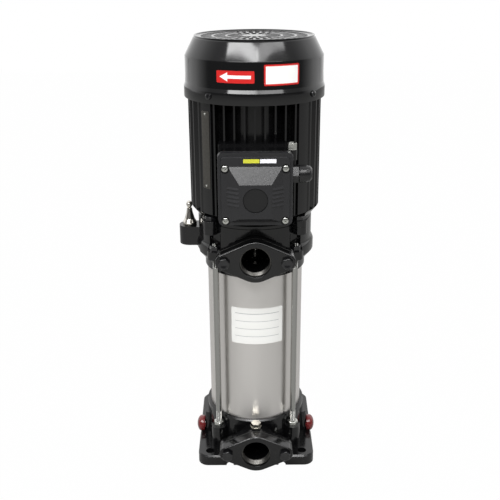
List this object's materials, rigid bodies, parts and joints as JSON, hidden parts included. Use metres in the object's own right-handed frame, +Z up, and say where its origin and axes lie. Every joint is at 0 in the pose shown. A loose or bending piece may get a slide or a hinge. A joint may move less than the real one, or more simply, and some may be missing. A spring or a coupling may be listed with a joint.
{
  "type": "vertical multistage pump",
  "caption": "Vertical multistage centrifugal pump: stainless sleeve held by stay bolts between a cast base and head with oval flanges, finned flanged motor above.",
  "frame": {"origin": "on the pump shaft's axis, in the underside of the base plate", "axes": "+Z up along the shaft towards the motor's fan, -Y out of both pipe ports and the terminal box, +X to the right seen from the ports, on the cable gland's side"},
  "size_m": [0.1893, 0.2183, 0.5718],
  "materials": {
    "black_paint": "gloss black enamel",
    "lid_paint": "satin charcoal enamel",
    "stainless": "finely brushed stainless steel",
    "steel": "machined steel",
    "zinc": "bright zinc plate",
    "nickel": "nickel plate",
    "black_fastener": "painted bolt",
    "rubber": "matt",
    "seal_ceramic": "lapped",
    "red_plastic": "gloss red",
    "black_plastic": "satin black",
    "copper": "varnished copper"
  },
  "bodies": {
    "pump_body": {"base_casting": "black_paint", "discharge_head": "black_paint", "outer_sleeve": "stainless", "sleeve_gaskets": "rubber", "inlet_ring": "stainless", "shaft_bush": "seal_ceramic", "stage_chamber_1": "stainless", "stage_chamber_2": "stainless", "stage_chamber_3": "stainless", "stage_chamber_4": "stainless", "stage_chamber_5": "stainless", "stage_chamber_6": "stainless", "stack_ring": "stainless", "stay_bolts": "zinc", "stay_nuts": "zinc", "suction_gasket": "rubber", "suction_flange": "black_paint", "discharge_gasket": "rubber", "discharge_flange": "black_paint", "flange_bolts": "black_fastener", "flange_nuts": "zinc", "gauge_plug": "nickel", "drain_plugs": "red_plastic", "vent_body": "nickel", "seal_cover": "stainless", "seal_seat": "seal_ceramic", "motor_lower_shield": "black_paint", "motor_bolts": "zinc", "motor_housing": "black_paint", "stator_core": "steel", "stator_windings": "copper", "motor_upper_shield": "black_paint", "lower_bearing_outer": "steel", "upper_bearing_outer": "steel", "fan_cowl": "black_paint", "cowl_screws": "zinc", "terminal_box": "black_paint", "terminal_board": "black_plastic", "lid_gasket": "rubber", "terminal_box_lid": "lid_paint", "lid_screws": "zinc", "gland_body": "black_plastic", "gland_nut": "black_plastic", "earth_screw": "zinc"},
    "rotor": {"pump_shaft": "stainless", "impeller_1": "stainless", "impeller_2": "stainless", "impeller_3": "stainless", "impeller_4": "stainless", "impeller_5": "stainless", "impeller_6": "stainless", "shaft_spacers": "stainless", "seal_head": "seal_ceramic", "shaft_coupling": "steel", "motor_shaft": "steel", "rotor_core": "steel", "lower_bearing_inner": "steel", "upper_bearing_inner": "steel", "cooling_fan": "black_plastic"},
    "bleed_screw": {"vent_screw": "nickel"}
  },
  "joints": [
    {"name": "rotor_spin", "type": "hinge", "parent": "pump_body", "child": "rotor", "pos_m": [0, 0, 0.3], "axis": [0, 0, 1], "continuous": true},
    {"name": "bleed_screw_turn", "type": "hinge", "parent": "pump_body", "child": "bleed_screw", "pos_m": [-0.087, 0, 0.35], "axis": [0, 0, 1], "range_deg": [0, 360]}
  ]
}
